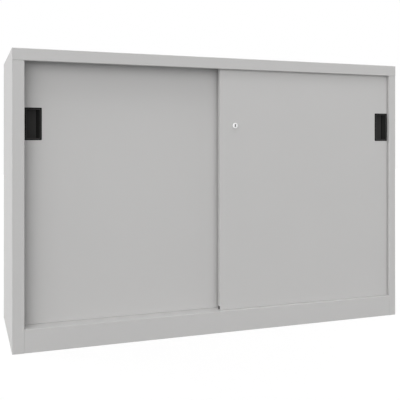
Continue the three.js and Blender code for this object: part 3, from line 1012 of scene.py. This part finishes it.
def pull_plastic(door):
    finish = Finish(f"{door}_pull_plastic")
    grain = finish.noise(PULL_GRAIN_CELLS)
    face = door_face(door)
    slope_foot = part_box(f"{door}_door_pull")[1].x - PULL_BORDER - PULL_SLOPE
    across, depth = finish.along("X"), finish.along("Y")
    in_cup = depth > face
    on_lip = depth < face - SEAT - BORDER_HEIGHT - EASE / 2
    # The slope is painted darker than the cup, and the crease at its foot darker still: painted shade.
    on_slope = across > slope_foot
    at_crease = (across > slope_foot - CREASE / 2) * (across < slope_foot + CREASE / 2)
    level = in_cup * (CUP_BLACK - on_slope * (CUP_BLACK - SHADED_SLOPE_BLACK)) * (1 - at_crease * CREASE_SHADE)
    # The lip is painted paler than the border: a painted highlight.
    level = level + on_lip * LIP_HIGHLIGHT + BASE_BLACK
    share = level * (0.9 + grain * 0.2)
    finish.set(Base_Color=finish.blend(share, grey(0.0), grey(1.0, 0.02)))
    finish.set(Roughness=0.4 + in_cup * 0.2 + grain * 0.1, Specular_IOR_Level=PULL_GLOSS)
    finish.bump(grain, 0.00004, strength=0.5)
    return finish.material


def flush_pull(door):
    node = f"{door}_door_pull"
    low, high = box_of(node)
    face = door_face(door)

    def inset(amount, radius, slope=0.0):
        left, right = low[0] + amount, high[0] - amount - slope
        return rounded_outline(left, right, low[2] + amount, high[2] - amount, radius)

    cup, mouth = PULL_BORDER - CUP_WALL, MOUTH_CORNER
    ground = face - SEAT
    level = ground - BORDER_HEIGHT
    floor = high[1] - CUP_WALL
    under = face + LIP_DEPTH
    loops = [
        (inset(cup, mouth + CUP_WALL), high[1]),
        (inset(cup, mouth + CUP_WALL), ground),
        (inset(0, PULL_CORNER), ground),
        (inset(0, PULL_CORNER), level + EASE),
        (inset(EASE * HALF_EASED, PULL_CORNER), level + EASE * HALF_EASED),
        (inset(EASE, PULL_CORNER - EASE), level),
    ]
    for step in range(LIP_STEPS + 1):
        angle = step / LIP_STEPS * pi
        across = PULL_BORDER + LIP_OVERHANG - LIP_WIDTH / 2 * (1 + cos(angle))
        radius = mouth + PULL_BORDER - across
        loops.append((inset(across, radius), level - (level - low[1]) * sin(angle)))
    loops += [
        (inset(PULL_BORDER + LIP_OVERHANG, mouth - LIP_OVERHANG), under - EASE),
        (inset(PULL_BORDER + LIP_OVERHANG / 2, mouth - LIP_OVERHANG / 2), under),
        (inset(PULL_BORDER, mouth), under + EASE),
        (inset(PULL_BORDER + CUP_DRAFT, mouth, PULL_SLOPE - EASE * 2), floor - EASE * 2),
        (inset(PULL_BORDER + CUP_DRAFT + EASE, mouth, PULL_SLOPE), floor),
    ]
    return finished(stack(loops), node, "moulded", finish=pull_plastic(door))


tell(*(flush_pull(door) for door in ENDS))

# %% [markdown]
# ## The lock
#
# A chromed collar stands eight millimetres proud of the door, and its edge is rounded over. The plug
# turns inside it, a hair lower, with a keyway whose mouth is widened to lead the key in. Behind
# the door a hexagonal nut holds the barrel, and a screw holds the cam to the plug's tail. The keyway
# is a tall narrow loop in the plug's face, carried back six millimetres and closed there.

# %% Lock
PLUG_CLEARANCE = 6.3 * MM
PLUG_RADIUS = 6 * MM
BARREL_RADIUS = 8 * MM
KEY_WIDTH = 1.8 * MM
KEY_HEIGHT = 7.5 * MM
KEY_DEPTH = 6 * MM
KEY_MOUTH = 1.3 * MM
KEY_CORNER = 0.6
COLLAR_ROUND = 1.2 * MM
COLLAR_STEPS = 8
TAIL_RADIUS = 4 * MM
NUT_EASE = 0.8 * MM
SMALL_EDGE = 0.1 * MM
THREAD_PITCH = 1 * MM
THREAD_DEPTH = 0.35 * MM
CREST = (0.5, 0.65)
ROOT = 0.15
SCREW_STEPS = 3
SCREW_DOME = 0.6
SCREW_SLOT_REACH = 0.7
SCREW_SLOT_HALF = 0.45 * MM
SCREW_SLOT_MOUTH = 0.1
SCREW_SLOT_FLOOR = 0.5
LOCK_X, _, LOCK_Z = centre_of("lock_housing")


def at_lock(radius, flats=0):
    return round_outline(LOCK_X, LOCK_Z, radius, flats)


def circles(*steps):
    """Circles round the lock's axis, each given by its radius and its depth."""
    return [(at_lock(radius), y) for radius, y in steps]


def thread(start, end, radius):
    """The roots and crests of a screw thread between two depths."""
    root = radius - THREAD_DEPTH
    steps = []
    for turn in range(int((end - start) / THREAD_PITCH)):
        y = start + turn * THREAD_PITCH
        steps += [(root, y + THREAD_PITCH * ROOT), *((radius, y + THREAD_PITCH * share) for share in CREST)]
    return circles(*steps, (root, end))


def lock_housing():
    low, high = box_of("lock_housing")
    front, back = low[1], high[1]
    collar = (high[2] - low[2]) / 2
    collar_back = door_face("front") - SEAT
    loops = circles((PLUG_CLEARANCE, back), (PLUG_CLEARANCE, front + EASE), (PLUG_CLEARANCE + EASE, front))
    loops += circles((collar - COLLAR_ROUND, front))
    for step in range(1, COLLAR_STEPS + 1):
        angle = step / COLLAR_STEPS * pi / 2
        across, deep = COLLAR_ROUND * (1 - sin(angle)), COLLAR_ROUND * (1 - cos(angle))
        loops += circles((collar - across, front + deep))
    loops += circles((collar, collar_back), (BARREL_RADIUS, collar_back))
    loops += thread(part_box("lock_nut")[0].y - SEAT, back, BARREL_RADIUS)
    return finished(stack(loops, capped=False), "lock_housing", "turned")


def lock_plug():
    low, high = box_of("lock_plug")
    front, back = low[1], high[1]
    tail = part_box("lock_housing")[1].y

    def keyway(wider):
        half_width, half_height = KEY_WIDTH / 2 + wider, KEY_HEIGHT / 2 + wider
        sides = (LOCK_X - half_width, LOCK_X + half_width, LOCK_Z - half_height, LOCK_Z + half_height)
        return rounded_outline(*sides, half_width * KEY_CORNER)

    loops = [(keyway(0), front + KEY_DEPTH), (keyway(0), front + KEY_MOUTH), (keyway(KEY_MOUTH), front)]
    loops += circles((PLUG_RADIUS - EASE, front), (PLUG_RADIUS, front + EASE), (PLUG_RADIUS, tail))
    loops += circles((TAIL_RADIUS, tail), (TAIL_RADIUS, back))
    # The chrome inside the keyway is painted dark: painted shade.
    keyed = polished_chrome("keyed_chrome", front + SMALL_EDGE / 2, front + KEY_DEPTH + EASE)
    return finished(stack(loops), "lock_plug", "turned", finish=keyed)


def lock_nut():
    low, high = box_of("lock_nut")
    corner = (high[2] - low[2]) / 2
    bore, wide, eased = at_lock(BARREL_HOLE), at_lock(corner, 6), at_lock(corner - NUT_EASE, 6)
    loops = [(bore, low[1]), (eased, low[1]), (wide, low[1] + NUT_EASE / 2)]
    loops += [(wide, high[1] - NUT_EASE / 2), (eased, high[1]), (bore, high[1])]
    return finished(stack(loops, capped=False), "lock_nut", "cut", edge=SMALL_EDGE)


def cam_outline(low, high):
    """The cam's outline: an arm with rounded corners, and half a circle round the plug's tail."""
    half = (high[2] - low[2]) / 2
    corner = half / 3
    tip = high[0] - corner
    return quarter_turns(
        (tip, LOCK_Z + half - corner, corner, CORNER_POINTS - 1),
        (LOCK_X, LOCK_Z, half, CORNER_POINTS),
        (LOCK_X, LOCK_Z, half, CORNER_POINTS - 1),
        (tip, LOCK_Z - half + corner, corner, CORNER_POINTS - 1),
    )


def lock_cam():
    low, high = box_of("lock_cam")
    arm = cam_outline(low, high)
    bore = at_lock(TAIL_RADIUS + SEAT)
    loops = [(bore, low[1]), (arm, low[1]), (arm, high[1]), (bore, high[1])]
    return finished(stack(loops, capped=False), "lock_cam", "cut", edge=CUT_EDGE)


def cam_screw():
    low, high = box_of("lock_cam_screw")
    radius, height = (high[0] - low[0]) / 2, high[1] - low[1]
    reach, half = radius * SCREW_SLOT_REACH, SCREW_SLOT_HALF
    sides = (LOCK_X - reach, LOCK_X + reach, LOCK_Z - half, LOCK_Z + half)
    slot = rounded_outline(*sides, EASE)
    loops = circles((radius, low[1]))
    for step in range(SCREW_STEPS + 1):
        angle = step / SCREW_STEPS * pi / 3
        loops += circles((radius * cos(angle / 2), high[1] - height * SCREW_DOME * (1 - sin(angle))))
    loops += [(slot, high[1] - height * share) for share in (SCREW_SLOT_MOUTH, SCREW_SLOT_FLOOR)]
    return finished(stack(loops), "lock_cam_screw", "turned", edge=SMALL_EDGE / 2)


tell(lock_housing(), lock_plug(), lock_nut(), lock_cam(), cam_screw())

# %% [markdown]
# ## Turned parts
#
# Feet, rollers and axles are round, so each is half a profile spun round its axis. A foot is a pad
# with a threaded stud, a roller has a hub standing clear of a hollow on both faces, and an axle is a
# rivet with a collar that keeps the roller off its bracket. Points on the axis itself come round to
# the same place, so the doubles are merged after the spin.

# %% Turned parts
STUD_RADIUS = 4 * MM
NECK_RADIUS = 6 * MM
NECK_HEIGHT = 9 * MM
PAD_HEIGHT = 5 * MM
STUD_PITCH = 1.25 * MM
PAD_EASE = 1 * MM
AXLE_RADIUS = 2.5 * MM
AXLE_HEAD = 1.5 * MM
HEAD_DOME = ((0, 0), (0.55, 0.1), (0.85, 1 / 3), (1, 1))
ROLLER_EASE = 0.6 * MM
ROLLER_DISH = 1.2 * MM
ROLLER_HUB = 0.55
ROLLER_RIM = 0.8
TURN_STEPS = 32


def turned(profile, node, axis, closed=False):
    """Spins a profile of (radius, distance along the axis) points round the node's own axis."""
    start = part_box(node)[0][AXIS_NUMBER[axis]]
    centre = centre_of(node, **{axis.lower(): start})
    way = lift(axis, 1, (0, 0))
    bm = bmesh.new()
    across = Vector((1, 0, 0))
    verts = [bm.verts.new(centre + across * radius + way * along) for radius, along in profile]
    pairs = list(zip(verts, verts[1:]))
    if closed:
        pairs.append((verts[-1], verts[0]))
    edges = [bm.edges.new(pair) for pair in pairs]
    bmesh.ops.spin(
        bm, geom=verts + edges, cent=centre, axis=way, angle=2 * pi, steps=TURN_STEPS, use_merge=True
    )
    return merged(bm)


def levelling_foot(end, side_name):
    node = f"levelling_foot_{end}_{side_name}"
    low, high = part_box(node)
    pad, ease = (high.x - low.x) / 2, PAD_EASE
    profile = [(0, 0), (pad - ease, 0), (pad, ease), (pad, PAD_HEIGHT - ease), (pad - ease, PAD_HEIGHT)]
    profile += [(NECK_RADIUS + ease, NECK_HEIGHT - ease), (NECK_RADIUS, NECK_HEIGHT)]
    place = NECK_HEIGHT
    while place + STUD_PITCH < high.z:
        profile += [(STUD_RADIUS - THREAD_DEPTH, place), (STUD_RADIUS, place + STUD_PITCH / 2)]
        place += STUD_PITCH
    profile += [(STUD_RADIUS - THREAD_DEPTH, high.z), (0, high.z)]
    return finished(turned(profile, node, "Z"), node, "turned")


def roller(door, side_name):
    node = f"{door}_door_roller_{side_name}"
    low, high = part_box(node)
    radius, width, ease = (high.z - low.z) / 2, high.y - low.y, ROLLER_EASE
    hub, rim, dish = radius * ROLLER_HUB, radius * ROLLER_RIM, ROLLER_DISH
    half = [(AXLE_HOLE, 0), (hub, 0), (hub + ease / 2, dish), (rim - ease / 2, dish), (rim, 0)]
    half += [(radius - ease, 0), (radius, ease)]
    profile = half + [(reach, width - along) for reach, along in reversed(half)]
    return finished(turned(profile, node, "Y", closed=True), node, "moulded", edge=SMALL_EDGE)


def axle(door, side_name):
    node = f"{door}_door_axle_{side_name}"
    low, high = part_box(node)
    head = (high.z - low.z) / 2
    roller_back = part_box(f"{door}_door_roller_{side_name}")[1].y + SEAT - low.y
    collar_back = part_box(f"{door}_door_hanger_{side_name}")[1].y - HANGER_SHEET - SEAT - low.y
    end = high.y - low.y
    dome = [(head * across, AXLE_HEAD * along) for across, along in HEAD_DOME]
    profile = dome + [(AXLE_RADIUS, AXLE_HEAD), (AXLE_RADIUS, roller_back), (head, roller_back)]
    profile += [(head, collar_back), (AXLE_RADIUS, collar_back), (AXLE_RADIUS, end - AXLE_HEAD)]
    profile += [(radius, end - along) for radius, along in reversed(dome)]
    return finished(turned(profile, node, "Y"), node, "turned", edge=SMALL_EDGE)


for end in ENDS:
    for side_name in SIDES:
        tell(levelling_foot(end, side_name), roller(end, side_name), axle(end, side_name))

# %% [markdown]
# ## Blocks and clips
#
# The rubber stops and buffers and the nylon guides are plain moulded blocks, so each is a cube set
# to its box, with a rounded edge. A guide has a thin foot with an ear at each end. A shelf clip is a
# bent strip with a small hook, which drops into a slot of the upright.

# %% Blocks and clips
GUIDE_PLATE = 2 * MM
GUIDE_EAR = 10 * MM
CLIP_SHEET = 2 * MM
HOOK_WIDTH = 2.2 * MM
HOOK_HEIGHT = 8 * MM
BLOCK_EASE = 0.8 * MM


def add_block(bm, corner, opposite):
    low, high = (Vector(end) for end in in_order(corner, opposite))
    size = high - low
    place = Matrix.Translation((low + high) / 2) @ Matrix.Diagonal((*size, 1))
    bmesh.ops.create_cube(bm, size=1, matrix=place)


def block(node):
    bm = bmesh.new()
    add_block(bm, *box_of(node))
    return finished(bm, node, "moulded", edge=BLOCK_EASE, segments=4)


def bottom_guide(door):
    node = f"{door}_bottom_guide"
    low, high = box_of(node)
    bm = bmesh.new()
    add_block(bm, low, (high[0], high[1], low[2] + GUIDE_PLATE))
    rib = (low[0] + GUIDE_EAR, low[1], low[2] + GUIDE_PLATE / 2)
    add_block(bm, rib, (high[0] - GUIDE_EAR, high[1], high[2]))
    return finished(bm, node, "moulded", edge=BLOCK_EASE / 2, segments=4)


def shelf_clip(level, end, side_name):
    node = f"{level}_shelf_clip_{end}_{side_name}"
    low, high = box_of(node)
    side = SIDES[side_name]
    tip, hook_end = (low[0], high[0]) if side > 0 else (high[0], low[0])
    upright_low, upright_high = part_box(f"shelf_upright_{end}_{side_name}")
    web = upright_low.x if side > 0 else upright_high.x
    plate = web - side * SEAT
    path = [(tip, high[2]), (plate, high[2]), (plate, low[2])]
    strip = folded(fold_sheet(path, "Y", (low[1], high[1]), side, CLIP_SHEET), node, CLIP_SHEET)
    bm = bmesh.new()
    slots = round((high[2] - upright_low.z - SLOT_START) / SLOT_PITCH)
    middle = upright_low.z + SLOT_START + slots * SLOT_PITCH
    depth = (low[1] + high[1]) / 2
    root = plate - side * CLIP_SHEET / 2
    corner = (hook_end, depth + HOOK_WIDTH / 2, middle + HOOK_HEIGHT / 2)
    add_block(bm, (root, depth - HOOK_WIDTH / 2, middle - HOOK_HEIGHT / 2), corner)
    finished(bm, node, "hook", edge=CUT_EDGE, extra="_tongue")
    return strip


tell(*(block(f"{door}_{kind}") for kind in ("track_stop", "door_buffer") for door in ENDS))
tell(*(bottom_guide(door) for door in ENDS))
tell(*(shelf_clip(level, end, side_name) for level in LEVELS for end in ENDS for side_name in SIDES))
carried = [node for node, obj in frame["nodes"].items() if not obj.hide_render]
print(len(pieces), "pieces made,", len(carried), "solids left as they are")

# %% [markdown]
# ## The studio
#
# The photograph is cut out on pure white, and its shading is that of a bright room: every recess
# darkens softly, more under the rail than above the plinth, and the left side is the lightest face.
# So the light comes from a sky with a few glows, one for each part of the room that is bright. Each
# glow has an angle to the left of straight ahead, an angle above the floor, a focus and a strength.
# The higher its focus, the smaller it is: the one high in front is small enough to draw the soft
# shadows under the rail and the lock. What is seen directly, in a reflection or through glass is
# plain white instead, so that the chrome shows the same background as the picture.

# %% Sky
WIDE, NARROW, CLOSE = 6, 20, 40
GLOWS = {
    "ahead": (0, 8, WIDE, 0.73),
    "ahead, to the left": (30, 8, WIDE, 2.16),
    "further left": (60, 8, WIDE, 0.54),
    "on the left": (75, 20, NARROW, 0.75),
    "on the right": (-85, 20, NARROW, 2.06),
    "high in front": (20, 70, CLOSE, 8.10),
    "behind the left side": (130, 8, WIDE, 3.05),
    "behind the right side": (-130, 8, WIDE, 2.15),
}


def towards(azimuth, elevation):
    """A direction, by its angle to the left of straight ahead and its angle above the floor."""
    azimuth, elevation = radians(azimuth), radians(elevation)
    return Vector((-sin(azimuth) * cos(elevation), -cos(azimuth) * cos(elevation), sin(elevation)))


def shows_background(network):
    """1 for a ray from the camera, one reflected by a gloss and one that passed through glass."""
    kinds = ("Camera", "Glossy", "Transmission")
    camera_ray, glossy_ray, clear_ray = (
        network.node("ShaderNodeLightPath", output=f"Is {kind} Ray") for kind in kinds
    )
    return camera_ray.at_least(glossy_ray).at_least(clear_ray)


def studio_sky():
    world = bpy.data.worlds.new("studio_sky")
    world.use_nodes = True
    sky = Network(world.node_tree)
    direction = sky.node("ShaderNodeTexCoord", output="Generated")
    level = None
    for azimuth, elevation, focus, strength in GLOWS.values():
        inputs = {0: direction, 1: towards(azimuth, elevation)}
        facing = sky.node("ShaderNodeVectorMath", {"operation": "DOT_PRODUCT"}, inputs, output="Value")
        glow = facing.at_least(0) ** focus * strength
        level = level + glow if level else glow
    lit = sky.node("ShaderNodeBackground", inputs={"Color": grey(1.0), "Strength": level})
    plain = sky.node("ShaderNodeBackground", inputs={"Color": grey(1.0), "Strength": 1.0})
    shade = sky.node("ShaderNodeMixShader", inputs={0: shows_background(sky), 1: lit, 2: plain})
    sky.feed(world.node_tree.nodes["World Output"].inputs["Surface"], shade)
    return world


scene.world = studio_sky()
print("a sky of", len(GLOWS), "glows")

# %% [markdown]
# ## The floor
#
# The floor is pale and matt. It gives back a little light upwards, which reaches the plinth and the
# underside of the rail. Towards the camera it glows almost white by itself, and the light that falls
# on it makes up the rest, so that only the cabinet's own shadow, close round its foot, stays a shade
# darker than the background.

# %% Floor
FLOOR_HALF = 12.0
FLOOR_LEVEL = 0.25
FLOOR_GLOW = 0.11
FLOOR_WHITE = 0.755


def floor_finish():
    finish = Finish("white_floor")
    matt = {"Base Color": grey(FLOOR_LEVEL), "Roughness": 0.9, "Emission Color": grey(1.0)}
    lit, seen = (
        finish.node("ShaderNodeBsdfPrincipled", inputs={**matt, "Emission Strength": strength})
        for strength in (FLOOR_GLOW, FLOOR_WHITE)
    )
    shade = finish.node("ShaderNodeMixShader", inputs={0: shows_background(finish), 1: lit, 2: seen})
    finish.feed(finish.tree.nodes["Material Output"].inputs["Surface"], shade)
    return finish.material


bm = bmesh.new()
bmesh.ops.create_grid(bm, x_segments=1, y_segments=1, size=FLOOR_HALF)
floor_mesh = bpy.data.meshes.new("floor")
bm.to_mesh(floor_mesh)
bm.free()
floor_mesh.materials.append(floor_finish())
floor = bpy.data.objects.new("floor", floor_mesh)
scene.collection.objects.link(floor)
floor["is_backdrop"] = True
print("a floor", 2 * FLOOR_HALF, "m across")

# %% [markdown]
# ## Measuring the finished cabinet
#
# Every finished piece is meant to keep to the size of the solid that it took over from, so the box
# round the whole cabinet is measured again, and how far each of its sides moved is printed.

# %% Size before and after
low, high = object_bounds()
pairs = zip([*cad_low, *cad_high], [*low, *high])
print("moved in mm:", [round((after - before) / MM, 2) for before, after in pairs])
